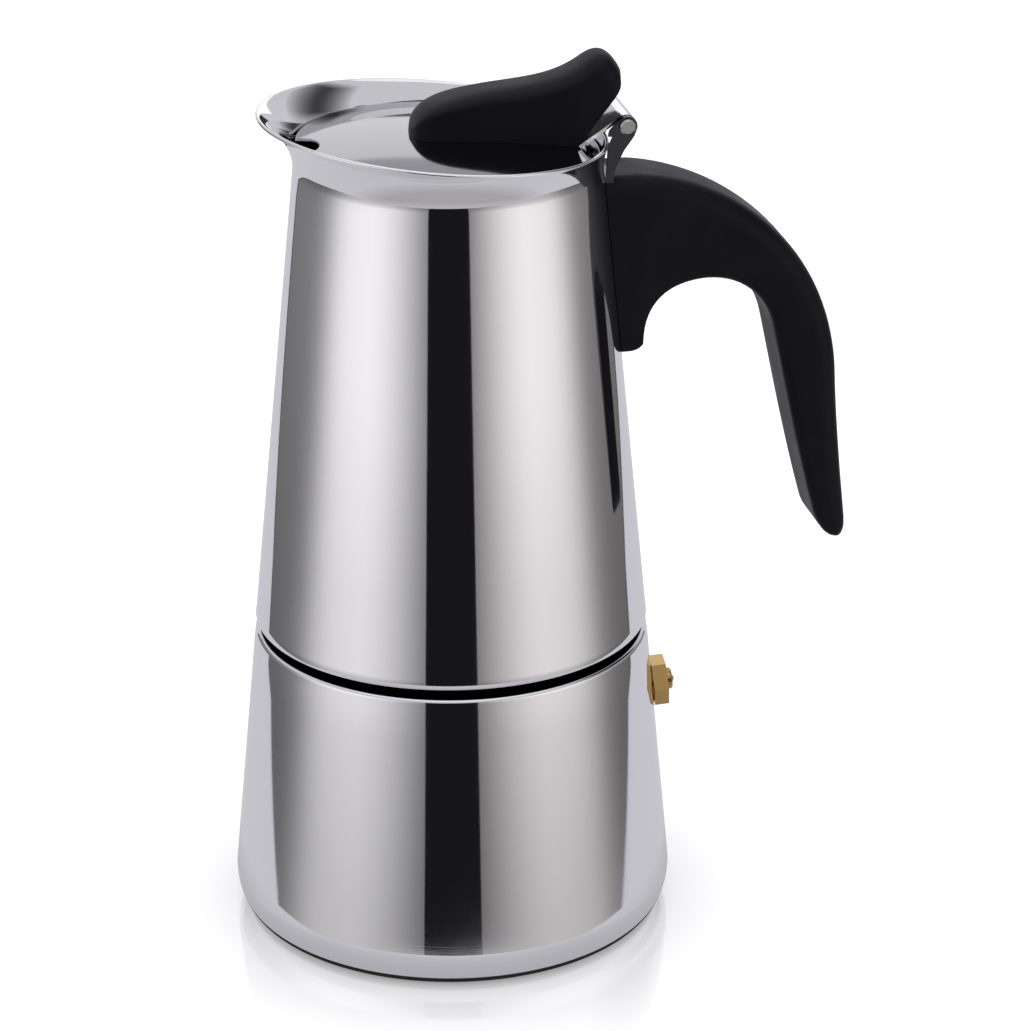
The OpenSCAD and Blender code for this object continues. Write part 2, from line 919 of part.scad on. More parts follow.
boiler();
funnel();
funnel_floor();
filter_plate();
seal_ring();
collector_wall();
collector_base();
column();
column_cap();
handle_bracket();
handle();
handle_screw();
hinge_pin();
lid_disc();
lid_strap();
thumb_lever();
lever_screw();
valve_body();
valve_washer();
valve_nut();
valve_plunger();
valve_spring();
valve_cap();
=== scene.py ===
import math

import bpy
from mathutils import Matrix, Vector


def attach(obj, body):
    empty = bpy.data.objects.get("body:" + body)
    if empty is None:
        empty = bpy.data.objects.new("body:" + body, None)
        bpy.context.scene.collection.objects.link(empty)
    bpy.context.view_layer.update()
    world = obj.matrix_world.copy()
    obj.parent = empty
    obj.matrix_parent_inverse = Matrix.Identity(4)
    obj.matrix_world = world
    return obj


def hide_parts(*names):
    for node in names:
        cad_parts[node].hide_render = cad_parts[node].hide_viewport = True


# Looks of a stove-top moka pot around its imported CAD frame.
# Shapes below are written in millimetres in the frame's own axes and scaled once, when a mesh is made.

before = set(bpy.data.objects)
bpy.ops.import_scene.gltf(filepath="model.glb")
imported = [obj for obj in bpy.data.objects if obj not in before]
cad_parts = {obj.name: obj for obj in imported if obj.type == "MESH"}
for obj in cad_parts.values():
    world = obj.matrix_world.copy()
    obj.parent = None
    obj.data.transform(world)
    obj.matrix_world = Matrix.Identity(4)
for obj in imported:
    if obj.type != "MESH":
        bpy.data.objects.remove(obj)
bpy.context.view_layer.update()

MM = 0.001
TURN = 2 * math.pi


# ---------- small maths ----------

def mix(a, b, t):
    return a + (b - a) * t


def bezier(p, t):
    s = 1 - t
    return tuple(
        s ** 3 * p[0][k] + 3 * t * s * s * p[1][k] + 3 * t * t * s * p[2][k] + t ** 3 * p[3][k]
        for k in range(2)
    )


def arc(cx, cz, r, start, end, steps):
    """Points on a circle from angle start to angle end, in degrees."""
    out = []
    for k in range(steps + 1):
        a = math.radians(mix(start, end, k / steps))
        out.append((cx + r * math.cos(a), cz + r * math.sin(a)))
    return out


# ---------- meshes ----------

def make_object(name, verts, faces, material, sharp=35, matrix=None):
    mesh = bpy.data.meshes.new(name)
    if matrix is not None:
        verts = [tuple(matrix @ Vector(v)) for v in verts]
    mesh.from_pydata([[c * MM for c in v] for v in verts], [], faces)
    mesh.validate()
    mesh.update()
    obj = bpy.data.objects.new(name, mesh)
    bpy.context.scene.collection.objects.link(obj)
    if material is not None:
        mesh.materials.append(material)
    for p in mesh.polygons:
        p.use_smooth = True
    if sharp is not None:
        mesh.set_sharp_from_angle(angle=math.radians(sharp))
    return obj


def bridge(faces, n, a, b, closed=True):
    """Quads between the ring of n points starting at a and the one starting at b."""
    for j in range(n if closed else n - 1):
        k = (j + 1) % n
        faces.append((a + j, a + k, b + k, b + j))


def lathe(name, profile, material, segments=192, sharp=35, matrix=None):
    """Turns a closed (r, z) outline about Z. Points on the axis become one vertex."""
    verts = []
    rings = []
    for r, z in profile:
        if r < 1e-6:
            rings.append((len(verts), 1))
            verts.append((0, 0, z))
        else:
            rings.append((len(verts), segments))
            for j in range(segments):
                a = TURN * j / segments
                verts.append((r * math.cos(a), r * math.sin(a), z))
    faces = []
    count = len(rings)
    for i in range(count):
        (a, na), (b, nb) = rings[i], rings[(i + 1) % count]
        if na == 1 and nb == 1:
            continue
        for j in range(segments):
            k = (j + 1) % segments
            if na == 1:
                faces.append((a, b + k, b + j))
            elif nb == 1:
                faces.append((a + j, a + k, b))
            else:
                faces.append((a + j, a + k, b + k, b + j))
    return make_object(name, verts, faces, material, sharp, matrix)


def loft(name, rings, material, sharp=35, matrix=None, caps=True):
    n = len(rings[0])
    verts = [p for ring in rings for p in ring]
    faces = []
    for i in range(len(rings) - 1):
        bridge(faces, n, i * n, (i + 1) * n)
    if caps:
        faces.append(tuple(range(n - 1, -1, -1)))
        faces.append(tuple((len(rings) - 1) * n + j for j in range(n)))
    return make_object(name, verts, faces, material, sharp, matrix)


# Painted shade: its share on the inner faces, and the top of the near-black painted shade in the seam gap
INSIDE_PAINTED_SHADE = 0.5
SEAM_TOP = 71.7


def paint_shade_where(obj, amount):
    """Paints shade into the steel's colour at each point, from 0 to 1; amount takes millimetres."""
    layer = obj.data.color_attributes.new("painted_shade", "FLOAT_COLOR", "POINT")
    for k, v in enumerate(obj.data.vertices):
        x, y, z = (c / MM for c in v.co)
        d = amount(math.hypot(x, y), z)
        layer.data[k].color = (d, d, d, 1)


def place(obj, body, slot, *nodes):
    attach(obj, body)
    if nodes:
        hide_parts(*nodes)
    return obj


# ---------- materials ----------

def new_material(name):
    mat = bpy.data.materials.new(name)
    mat.use_nodes = True
    tree = mat.node_tree
    shader = next(n for n in tree.nodes if n.type == "BSDF_PRINCIPLED")
    return mat, tree, shader


def add(tree, kind, **values):
    node = tree.nodes.new(kind)
    for key, value in values.items():
        if key in node.inputs:
            node.inputs[key].default_value = value
        else:
            setattr(node, key, value)
    return node


def object_coords(tree, scale):
    coord = add(tree, "ShaderNodeTexCoord")
    mapping = add(tree, "ShaderNodeMapping")
    mapping.inputs["Scale"].default_value = scale
    tree.links.new(coord.outputs["Object"], mapping.inputs["Vector"])
    return mapping.outputs["Vector"]


def ramp(tree, source, stops):
    node = add(tree, "ShaderNodeValToRGB")
    elements = node.color_ramp.elements
    while len(elements) < len(stops):
        elements.new(0.5)
    for element, (position, colour) in zip(elements, stops):
        element.position = position
        element.color = (*colour, 1)
    tree.links.new(source, node.inputs["Fac"])
    return node.outputs["Color"]


def grey(v):
    return (v, v, v)


def steel(name, colour, rough_low, rough_high, bump):
    """Polished or satin stainless steel: uneven polish, faint turned lines and a few hair scratches."""
    mat, tree, shader = new_material(name)
    shader.inputs["Metallic"].default_value = 1
    cloud = add(tree, "ShaderNodeTexNoise", Scale=1.0, Detail=4.0, Roughness=0.6)
    tree.links.new(object_coords(tree, (38, 38, 26)), cloud.inputs["Vector"])
    tone = ramp(tree, cloud.outputs["Fac"], [(0.3, [c * 0.985 for c in colour]), (0.7, colour)])
    # Painted shade: where this attribute is set, the steel's colour runs to near black
    painted_shade = add(tree, "ShaderNodeAttribute", attribute_name="painted_shade")
    shade = add(tree, "ShaderNodeMix", data_type="RGBA")
    tree.links.new(painted_shade.outputs["Fac"], shade.inputs[0])
    tree.links.new(tone, shade.inputs[6])
    shade.inputs[7].default_value = (0.02, 0.02, 0.022, 1)
    tree.links.new(shade.outputs[2], shader.inputs["Base Color"])
    rough = ramp(tree, cloud.outputs["Fac"], [(0.3, grey(rough_low)), (0.7, grey(rough_high))])
    tree.links.new(rough, shader.inputs["Roughness"])
    turned = add(tree, "ShaderNodeTexNoise", Scale=1.0, Detail=3.0, Roughness=0.55)
    tree.links.new(object_coords(tree, (14, 14, 5200)), turned.inputs["Vector"])
    scratch = add(tree, "ShaderNodeTexNoise", Scale=1.0, Detail=2.0, Roughness=0.5)
    tree.links.new(object_coords(tree, (900, 900, 60)), scratch.inputs["Vector"])
    blend = add(tree, "ShaderNodeMix", data_type="FLOAT")
    blend.inputs[0].default_value = 0.3
    tree.links.new(turned.outputs["Fac"], blend.inputs[2])
    tree.links.new(scratch.outputs["Fac"], blend.inputs[3])
    relief = add(tree, "ShaderNodeBump", Strength=bump, Distance=0.00002)
    tree.links.new(blend.outputs[0], relief.inputs["Height"])
    tree.links.new(relief.outputs["Normal"], shader.inputs["Normal"])
    return mat


def plastic(name, low, high, rough_low, rough_high, specular):
    """Satin moulded phenolic: fine pores, soft cloudy sheen."""
    mat, tree, shader = new_material(name)
    shader.inputs["Specular IOR Level"].default_value = specular
    cloud = add(tree, "ShaderNodeTexNoise", Scale=1.0, Detail=5.0, Roughness=0.6)
    tree.links.new(object_coords(tree, (110, 110, 110)), cloud.inputs["Vector"])
    tree.links.new(ramp(tree, cloud.outputs["Fac"], [(0.3, low), (0.75, high)]), shader.inputs["Base Color"])
    rough = ramp(tree, cloud.outputs["Fac"], [(0.3, grey(rough_low)), (0.7, grey(rough_high))])
    tree.links.new(rough, shader.inputs["Roughness"])
    pores = add(tree, "ShaderNodeTexNoise", Scale=1.0, Detail=3.0, Roughness=0.7)
    tree.links.new(object_coords(tree, (2600, 2600, 2600)), pores.inputs["Vector"])
    relief = add(tree, "ShaderNodeBump", Strength=0.25, Distance=0.00004)
    tree.links.new(pores.outputs["Fac"], relief.inputs["Height"])
    tree.links.new(relief.outputs["Normal"], shader.inputs["Normal"])
    return mat


def soft(name, low, high, roughness, scale):
    """Silicone or fibre: matt with a fine grain."""
    mat, tree, shader = new_material(name)
    shader.inputs["Roughness"].default_value = roughness
    grain = add(tree, "ShaderNodeTexNoise", Scale=1.0, Detail=4.0, Roughness=0.6)
    tree.links.new(object_coords(tree, (scale, scale, scale)), grain.inputs["Vector"])
    tree.links.new(ramp(tree, grain.outputs["Fac"], [(0.3, low), (0.7, high)]), shader.inputs["Base Color"])
    relief = add(tree, "ShaderNodeBump", Strength=0.3, Distance=0.00005)
    tree.links.new(grain.outputs["Fac"], relief.inputs["Height"])
    tree.links.new(relief.outputs["Normal"], shader.inputs["Normal"])
    return mat


POLISHED = steel("polished_steel", (0.89, 0.885, 0.90), 0.035, 0.065, 0.05)
# Lid: a darker copy of the polished steel, painted shade so its top shows dimmer than the body
LID_SHADED_STEEL = steel("lid_steel_painted_shade", (0.40, 0.40, 0.42), 0.05, 0.09, 0.08)
# Collector base: a darker copy of the steel, painted shade for its flange seen in the seam gap
SEAM_SHADE_STEEL = steel("seam_painted_shade_steel", (0.30, 0.30, 0.31), 0.28, 0.38, 0.3)
SATIN = steel("satin_steel", (0.72, 0.72, 0.73), 0.22, 0.32, 0.3)
BRIGHT = steel("bright_hardware", (0.86, 0.86, 0.87), 0.08, 0.14, 0.1)
BLACK = plastic("black_plastic", (0.0030, 0.0030, 0.0050), (0.0050, 0.0050, 0.0075), 0.34, 0.44, 0.11)
BRASS = steel("brass", (0.52, 0.34, 0.12), 0.12, 0.22, 0.25)
# Handle bracket: a near-black copy of the steel, painted dark reflection of the camera's side it faces
BRACKET_SHADE_STEEL = steel("bracket_steel_painted_shade", (0.07, 0.07, 0.075), 0.10, 0.16, 0.1)
PIN = steel("pin_steel", (0.50, 0.49, 0.46), 0.18, 0.30, 0.4)
SILICONE = soft("silicone", (0.80, 0.79, 0.75), (0.88, 0.87, 0.83), 0.55, 400)
FIBRE = soft("fibre", (0.42, 0.10, 0.06), (0.58, 0.18, 0.12), 0.75, 1800)


# ---------- shared sizes, as in the CAD ----------

SHEET = 0.9
BASE_R = 50.0
BOILER_H = 68.2
BOILER_TAPER = 0.095
FOOT_H = 8.3
FOOT_IN = 4.2
BASE_T = 2.5
NECK_R = 34.6
NECK_TOP = 79.0
COLLECTOR_R = 44.2
COLLECTOR_Z = 70.5
COLLECTOR_TAPER = 0.099
FLARE_Z = 175.8
FLARE_BEND = 13.3
RIM_MID_Z = 184.2
RIM_SLOPE = 0.09
LID_R = 33.0
LID_DOME = 2.6
LID_T = 0.8
LID_MID_Z = 183.0
LID_TILT = 2.6
NOTCH_X = 34.8
NOTCH_R = 6.5
LEVER_HALF = 7.4
LEVER_SHOULDER = 0.76
HANDLE_ROOT_HALF = 10.5
HANDLE_GRIP_HALF = 8.0
THREAD_PITCH = 2.25
RIDGE_Z = 72.4


def boiler_r(z):
    return BASE_R - BOILER_TAPER * (z - FOOT_H)


def wall_r(z):
    return COLLECTOR_R - COLLECTOR_TAPER * (z - COLLECTOR_Z)


def dome_drop(r):
    return LID_DOME * (r / LID_R) ** 2


LID = Matrix.Translation((0, 0, LID_MID_Z)) @ Matrix.Rotation(math.radians(LID_TILT), 4, "Y")


# ---------- boiler ----------

def boiler_outline():
    steps = 24
    top_r = boiler_r(BOILER_H)
    outer = []
    for k in range(steps + 1):
        a = math.radians(90 * k / steps)
        outer.append((BASE_R - FOOT_IN + FOOT_IN * math.sin(a), FOOT_H - FOOT_H * math.cos(a)))
    wall = [(boiler_r(z), z) for z in (8.6, 9.2, 11, 14, 22, 34, 46, 58, 65)]
    edge = arc(top_r - 1, BOILER_H - 1, 1, 0, 90, 8)
    neck = [(NECK_R + 1.2, BOILER_H)] + arc(NECK_R + 1, BOILER_H + 1, 1, 270, 180, 5)
    thread = []
    for i in range(3):
        z = RIDGE_Z + THREAD_PITCH * i
        thread += [(NECK_R, z - 0.75), (NECK_R + 0.55, z - 0.3), (NECK_R + 0.8, z)]
        thread += [(NECK_R + 0.55, z + 0.3), (NECK_R, z + 0.75)]
    mouth = [(NECK_R, NECK_TOP - 0.2), (NECK_R - 0.2, NECK_TOP), (NECK_R - 0.8, NECK_TOP)]
    mouth += [(NECK_R - 1, NECK_TOP - 0.2), (NECK_R - 1, BOILER_H), (NECK_R, BOILER_H - SHEET)]
    inside = [(top_r - 1, BOILER_H - SHEET), (boiler_r(60) - SHEET, 60), (boiler_r(30) - SHEET, 30)]
    for k in range(steps, -1, -2):
        a = math.radians(90 * k / steps)
        inside.append((
            BASE_R - SHEET - FOOT_IN + FOOT_IN * math.sin(a),
            FOOT_H - (FOOT_H - BASE_T) * math.cos(a),
        ))
    bottom = [(0, 0.0), (BASE_R - FOOT_IN - 4, 0.0)]
    return bottom + outer + wall + edge + neck + thread + mouth + inside + [(0, BASE_T)]


def drill(obj, matrix, radius, low, high, sharp):
    """Cuts a round hole along the matrix's own Z axis, from low to high."""
    rings = [[(radius * math.cos(TURN * j / 96), radius * math.sin(TURN * j / 96), z) for j in range(96)]
             for z in (low, high)]
    cutter = loft("drill", rings, None, matrix=matrix)
    cut = obj.modifiers.new("drill", "BOOLEAN")
    cut.operation = "DIFFERENCE"
    cut.solver = "EXACT"
    cut.object = cutter
    whole = obj.data
    drilled = bpy.data.meshes.new_from_object(obj.evaluated_get(bpy.context.evaluated_depsgraph_get()))
    obj.modifiers.clear()
    obj.data = drilled
    drilled.set_sharp_from_angle(angle=math.radians(sharp))
    bpy.data.meshes.remove(whole)
    bpy.data.meshes.remove(cutter.data)


VALVE_TURN = math.radians(-6)
VALVE_Z = 50.4
VALVE_HOLE_R = 4.1
boiler = lathe("boiler_shell", boiler_outline(), POLISHED, segments=256, sharp=40)
valve_frame = (
    Matrix.Rotation(VALVE_TURN, 4, "Z")
    @ Matrix.Translation((boiler_r(VALVE_Z), 0, VALVE_Z))
    @ Matrix.Rotation(math.pi / 2 - math.atan(BOILER_TAPER), 4, "Y")
)
drill(boiler, valve_frame, VALVE_HOLE_R, -5, 5, 40)


def boiler_painted_shade(r, z):
    """Painted shade: near black where the seam closes over the shoulder, darker than polished on the thread and
    inside.
    """
    if z > BOILER_H - 0.05 and r < boiler_r(BOILER_H) - 0.9:
        return 1.0 if z < SEAM_TOP else INSIDE_PAINTED_SHADE
    return INSIDE_PAINTED_SHADE if r < NECK_R - 1.1 else 0.0


paint_shade_where(boiler, boiler_painted_shade)
place(boiler, "boiler", "polished_steel", "boiler")


# ---------- collector with its flared, slanted rim ----------

def rim_angle(turn, reach):
    """Angle of the flare's arc at which it meets the slanted rim, at this direction round the pot."""
    low, high = 5.0, 66.0
    for _ in range(40):
        mid = (low + high) / 2
        a = math.radians(mid)
        r = wall_r(FLARE_Z) + FLARE_BEND - reach * math.cos(a)
        z = FLARE_Z + reach * math.sin(a)
        if z < RIM_MID_Z - RIM_SLOPE * r * math.cos(turn):
            low = mid
        else:
            high = mid
    return (low + high) / 2


def collector_mesh():
    segments = 288
    flare_steps = 20
    reach_in = FLARE_BEND + SHEET
    columns = []
    for j in range(segments):
        turn = TURN * j / segments
        column = [(COLLECTOR_R - SHEET, COLLECTOR_Z), (COLLECTOR_R - 0.45, COLLECTOR_Z)]
        column += arc(COLLECTOR_R - 0.45, COLLECTOR_Z + 0.45, 0.45, 300, 360, 3)
        column += [(wall_r(z), z) for z in (72.5, 90, 110, 130, 150, 165, 172)]
        end = rim_angle(turn, FLARE_BEND) - 1.5
        for k in range(flare_steps + 1):
            a = math.radians(end * k / flare_steps)
            column.append((
                wall_r(FLARE_Z) + FLARE_BEND - FLARE_BEND * math.cos(a),
                FLARE_Z + FLARE_BEND * math.sin(a),
            ))
        # The sheet's edge is polished round: a half circle between the outer and the inner face
        a = math.radians(end)
        mid_reach = FLARE_BEND + SHEET / 2
        cx = wall_r(FLARE_Z) + FLARE_BEND - mid_reach * math.cos(a)
        cz = FLARE_Z + mid_reach * math.sin(a)
        for k in range(1, 8):
            b = math.radians(-end + 180 * k / 8)
            column.append((cx + SHEET / 2 * math.cos(b), cz + SHEET / 2 * math.sin(b)))
        for k in range(flare_steps, -1, -1):
            a = math.radians(end * k / flare_steps)
            column.append((
                wall_r(FLARE_Z) + FLARE_BEND - reach_in * math.cos(a),
                FLARE_Z + reach_in * math.sin(a),
            ))
        column += [(wall_r(z) - SHEET, z) for z in (172, 150, 120, 90)]
        columns.append([(r * math.cos(turn), r * math.sin(turn), z) for r, z in column])
    rings = [[columns[j][i] for j in range(segments)] for i in range(len(columns[0]))]
    verts = [p for ring in rings for p in ring]
    faces = []
    for i in range(len(rings)):
        bridge(faces, segments, i * segments, ((i + 1) % len(rings)) * segments)
    return verts, faces


verts, faces = collector_mesh()
collector = make_object("collector_shell", verts, faces, POLISHED, sharp=40)
# Painted shade on the collector's inner faces below the flare
paint_shade_where(collector, lambda r, z: INSIDE_PAINTED_SHADE if z < FLARE_Z - 1 and r < wall_r(z) - 0.6 else 0.0)
place(collector, "collector", "polished_steel", "collector_wall")


# ---------- lid ----------

def lid_edge_r(turn):
    """Distance of the lid's outline from its middle: round, with a rounded pour notch on the spout side."""
    a = abs(math.remainder(turn - math.pi, TURN))
    side = NOTCH_X * math.sin(a)
    if a > 1 or side >= NOTCH_R:
        return LID_R
    return min(LID_R, NOTCH_X * math.cos(a) - math.sqrt(NOTCH_R ** 2 - side ** 2))


def lid_mesh():
    turns = []
    # Close steps across the notch, wider ones round the rest
    fine = 0.32
    for j in range(-80, 81):
        turns.append(math.pi + fine * j / 80)
    rest = 200
    start, end = math.pi + fine, math.pi - fine + TURN
    turns += [mix(start, end, k / rest) for k in range(1, rest)]
    n = len(turns)
    shares = [0.08, 0.2, 0.35, 0.5, 0.62, 0.74, 0.84, 0.91, 0.955, 0.98]
    round_r = 0.3
    rings = []
    for share in shares:
        rings.append([(lid_edge_r(t) * share, t, 0) for t in turns])
    for k in range(7):
        a = math.radians(90 * k / 6)
        rings.append([
            (lid_edge_r(t) - round_r + round_r * math.sin(a), t, -round_r + round_r * math.cos(a))
            for t in turns
        ])
    for k in range(7):
        a = math.radians(90 * k / 6)
        rings.append([
            (lid_edge_r(t) - round_r + round_r * math.cos(a), t, -LID_T + round_r - round_r * math.sin(a))
            for t in turns
        ])
    for share in reversed(shares):
        rings.append([(lid_edge_r(t) * share, t, -LID_T) for t in turns])
    verts = [(0, 0, 0)]
    for ring in rings:
        verts += [(r * math.cos(t), r * math.sin(t), z - dome_drop(r)) for r, t, z in ring]
    verts.append((0, 0, -LID_T))
    faces = [(0, 1 + j, 1 + (j + 1) % n) for j in range(n)]
    for i in range(len(rings) - 1):
        bridge(faces, n, 1 + i * n, 1 + (i + 1) * n)
    last = len(verts) - 1
    base = 1 + (len(rings) - 1) * n
    faces += [(last, base + (j + 1) % n, base + j) for j in range(n)]
    faces = [tuple(reversed(f)) for f in faces]
    return verts, faces


verts, faces = lid_mesh()
lid = make_object("lid_disc_polished", verts, faces, LID_SHADED_STEEL, sharp=50, matrix=LID)
place(lid, "lid", "polished_steel", "lid_disc")


# ---------- handle ----------

def slab_ring(a, b, half, inner_r, outer_r, crown):
    """Rounded slab section: from a, the inner edge, to b, the outer edge; outer corners rounder and crowned."""
    length = math.dist(a, b)
    ux, uz = (b[0] - a[0]) / length, (b[1] - a[1]) / length
    ring = []

    def put(along, side):
        ring.append((a[0] + ux * along, side, a[1] + uz * along))

    outer_r = min(outer_r, length * 0.48, half * 0.9)
    inner_r = min(inner_r, length * 0.3)
    steps = 10
    across = 8
    for k in range(steps + 1):
        t = math.radians(90 - 90 * k / steps)
        put(length - outer_r + outer_r * math.sin(t) ** 0.9, half - outer_r + outer_r * math.cos(t))
    for k in range(1, 5):
        put(mix(length - outer_r, inner_r, k / 5), half + crown * math.sin(math.pi * k / 5))
    for k in range(steps + 1):
        t = math.radians(90 * k / steps)
        put(inner_r - inner_r * math.sin(t), half - inner_r + inner_r * math.cos(t))
    for k in range(1, across):
        put(0, mix(half - inner_r, inner_r - half, k / across))
    for k in range(steps, -1, -1):
        t = math.radians(90 * k / steps)
        put(inner_r - inner_r * math.sin(t), inner_r - half - inner_r * math.cos(t))
    for k in range(4, 0, -1):
        put(mix(length - outer_r, inner_r, k / 5), -half - crown * math.sin(math.pi * k / 5))
    for k in range(steps, -1, -1):
        t = math.radians(90 - 90 * k / steps)
        put(length - outer_r + outer_r * math.sin(t) ** 0.9, outer_r - half - outer_r * math.cos(t))
    for k in range(1, across):
        put(length, mix(outer_r - half, half - outer_r, k / across))
    return ring


OUTER_ARCH = ((34.2, 172.9), (56.5, 174.6), (85.2, 157), (87.5, 124))
OUTER_GRIP = ((87.5, 124), (88, 112), (89.7, 98), (90.55, 87.8))
INNER_HOOK = ((41.6, 134.3), (41.6, 144), (47.5, 148.3), (56.5, 148.4))
INNER_ARCH = ((56.5, 148.4), (64.5, 148.2), (70.6, 143.2), (72.4, 134.9))
INNER_GRIP = ((72.4, 134.9), (74.9, 123.5), (78.6, 105), (82.9, 89.6))


def handle_stations():
    """Pairs of inner and outer outline points, from the pot to the tip."""
    pairs = [((39.4, 133.1), (35.2, 172.9)), ((40.3, 133.1), (35.8, 172.9)), ((41.0, 133.3), (36.4, 172.9))]
    pairs.append(((41.4, 133.7), (37.0, 172.9)))
    for k in range(17):
        t = k / 16
        pairs.append((bezier(INNER_HOOK, t), bezier(OUTER_ARCH, 0.1 + 0.32 * t)))
    for k in range(1, 15):
        t = k / 14
        pairs.append((bezier(INNER_ARCH, t), bezier(OUTER_ARCH, 0.42 + 0.44 * t)))
    for k in range(1, 25):
        t = k / 24
        outer = bezier(OUTER_ARCH, 0.86 + 0.14 * t / 0.3) if t < 0.3 else bezier(OUTER_GRIP, (t - 0.3) / 0.7)
        pairs.append((bezier(INNER_GRIP, t), outer))
    pairs += [
        ((83.2, 88.6), (90.56, 87.0)),
        ((83.7, 87.5), (90.54, 86.2)),
        ((84.3, 86.5), (90.45, 85.4)),
        ((85.0, 85.5), (90.15, 84.6)),
        ((85.7, 84.7), (89.8, 84.0)),
        ((86.6, 84.0), (89.3, 83.5)),
        ((87.6, 83.5), (88.7, 83.25)),
    ]
    return pairs


def handle_mesh():
    pairs = handle_stations()
    count = len(pairs)
    tip = 7
    rings = []
    for i, (a, b) in enumerate(pairs):
        share = min(1, i / 34)
        half = mix(HANDLE_ROOT_HALF, HANDLE_GRIP_HALF, share)
        late = max(0, i - (count - 1 - tip)) / tip
        half -= 2.4 * (1 - math.sqrt(1 - (late * 0.97) ** 2))
        ring = slab_ring(a, b, half, mix(1.2, 2.0, share), 4.6, 0)
        if i < 4:
            ring = [on_wall(p, i) for p in ring]
        rings.append(ring)
    return rings


def on_wall(p, i):
    """Bends the handle's root so that it meets the round wall all across its width."""
    x, y, z = p
    reach = wall_r(z) + 0.1
    near = math.sqrt(reach ** 2 - y * y)
    share = 1 - i / 4
    return (mix(x, max(near, x - 1.8) if i else near, share), y, z)


handle = loft("handle_grip", handle_mesh(), BLACK, sharp=32)
place(handle, "collector", "black_plastic", "handle")


# ---------- thumb lever on the lid ----------

CREST_NOSE = ((-8.5, 1), (-7.5, 5.7), (-3.2, 7.8), (3, 9.2))
CREST_BACK = ((3, 9.2), (14, 11.7), (22, 10.8), (29.2, 16.15))
CREST_TIP = ((29.2, 16.15), (32, 18.32), (34.2, 19.22), (36.9, 14.55))


def lever_ring(base_x, crest, half):
    shoulder = LEVER_SHOULDER
    low_z = 0.05 - dome_drop(math.hypot(base_x, half))
    ring = []
    flat = 7
    round_steps = 20
    for k in range(flat):
        s = shoulder * k / flat
        ring.append((mix(base_x, crest[0], s), half * mix(1, 0.94, k / flat), mix(low_z, crest[1], s)))
    for k in range(round_steps + 1):
        a = math.pi * k / round_steps
        s = shoulder + (1 - shoulder) * math.sin(a) ** 0.85
        side = math.copysign(abs(math.cos(a)) ** 0.8, math.cos(a))
        ring.append((mix(base_x, crest[0], s), half * 0.94 * side, mix(low_z, crest[1], s)))
    for k in range(flat - 1, -1, -1):
        s = shoulder * k / flat
        ring.append((mix(base_x, crest[0], s), -half * mix(1, 0.94, k / flat), mix(low_z, crest[1], s)))
    return ring


def lever_rings():
    rings = []
    for k in range(15):
        t = k / 14
        width = max(0.05, math.sqrt(1 - (1 - t) ** 2))
        rings.append(lever_ring(-8.3 + 10.5 * t * t, bezier(CREST_NOSE, t), LEVER_HALF * width))
    for k in range(1, 19):
        t = k / 18
        rings.append(lever_ring(2.2 + 20.8 * t, bezier(CREST_BACK, t), LEVER_HALF))
    for k in range(1, 15):
        t = k / 14
        rings.append(lever_ring(23 + 3.4 * t, bezier(CREST_TIP, t), LEVER_HALF))
    rings.append(lever_ring(27.1, (37.2, 12.1), LEVER_HALF))
    return rings


lever = loft("thumb_lever_grip", lever_rings(), BLACK, sharp=32, matrix=LID)
place(lever, "lid", "black_plastic", "thumb_lever")


# ---------- CAD nodes that stay, with their materials ----------

FINISH = {
    "funnel": SATIN, "funnel_floor": SATIN, "filter_plate": SATIN, "collector_base": SEAM_SHADE_STEEL,
    "column": SATIN, "column_cap": SATIN, "seal_ring": SILICONE,
    "handle_bracket": BRACKET_SHADE_STEEL, "handle_screw": BRIGHT, "hinge_pin": PIN, "lid_strap": BRIGHT,
    "lever_screw": BRIGHT, "valve_plunger": SATIN, "valve_spring": BRIGHT,
    "valve_body": BRASS, "valve_nut": BRASS, "valve_cap": BRASS, "valve_washer": FIBRE,
}
for node_name, material in FINISH.items():
    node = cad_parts[node_name]
    node.data.materials.clear()
    node.data.materials.append(material)


# ---------- studio ----------

# Camera in metres: at the pot's side, a little towards the spout, looking down; angles in degrees
CAMERA = Vector((-0.1585, -0.8156, 0.4375))
CAMERA_YAW = 11.95
CAMERA_PITCH = 22.5
CAMERA_LENS = 139.7
SENSOR = 36
CAMERA_TURN = math.degrees(math.atan2(CAMERA.y, CAMERA.x))


def emission(name, colour, strength):
    mat = bpy.data.materials.new(name)
    mat.use_nodes = True
    tree = mat.node_tree
    tree.nodes.clear()
    out = tree.nodes.new("ShaderNodeOutputMaterial")
    glow = tree.nodes.new("ShaderNodeEmission")
    glow.inputs["Color"].default_value = (*colour, 1)
    glow.inputs["Strength"].default_value = strength
    tree.links.new(glow.outputs["Emission"], out.inputs["Surface"])
    return mat, tree, glow


def shine(obj, tree, glow, colours):
    """Gives each point of a glowing card its own colour."""
    layer = obj.data.color_attributes.new("glow", "FLOAT_COLOR", "POINT")
    for k, colour in enumerate(colours):
        layer.data[k].color = (*colour, 1)
    source = tree.nodes.new("ShaderNodeAttribute")
    source.attribute_name = "glow"
    tree.links.new(source.outputs["Color"], glow.inputs["Color"])


def seen_by(obj, camera=False, glossy=False, diffuse=False, shadow=False):
    obj.visible_camera = camera
    obj.visible_glossy = glossy
    obj.visible_diffuse = diffuse
    obj.visible_shadow = shadow
    obj.visible_transmission = False
    obj.visible_volume_scatter = False


# Two far walls of soft light stand round the pot, one each side of the camera
PANEL_R = 1000.0
PANEL_TOP = 420.0
PANEL_FLOOR = -386.0
PANEL_START = 14.3
PANEL_END = 144.0
# Brightest direction of a panel, from the camera's side, and where its light has faded by half
PANEL_PEAK = 58.0
PANEL_FADE = 87.5
FADE_WIDTH = 7.0
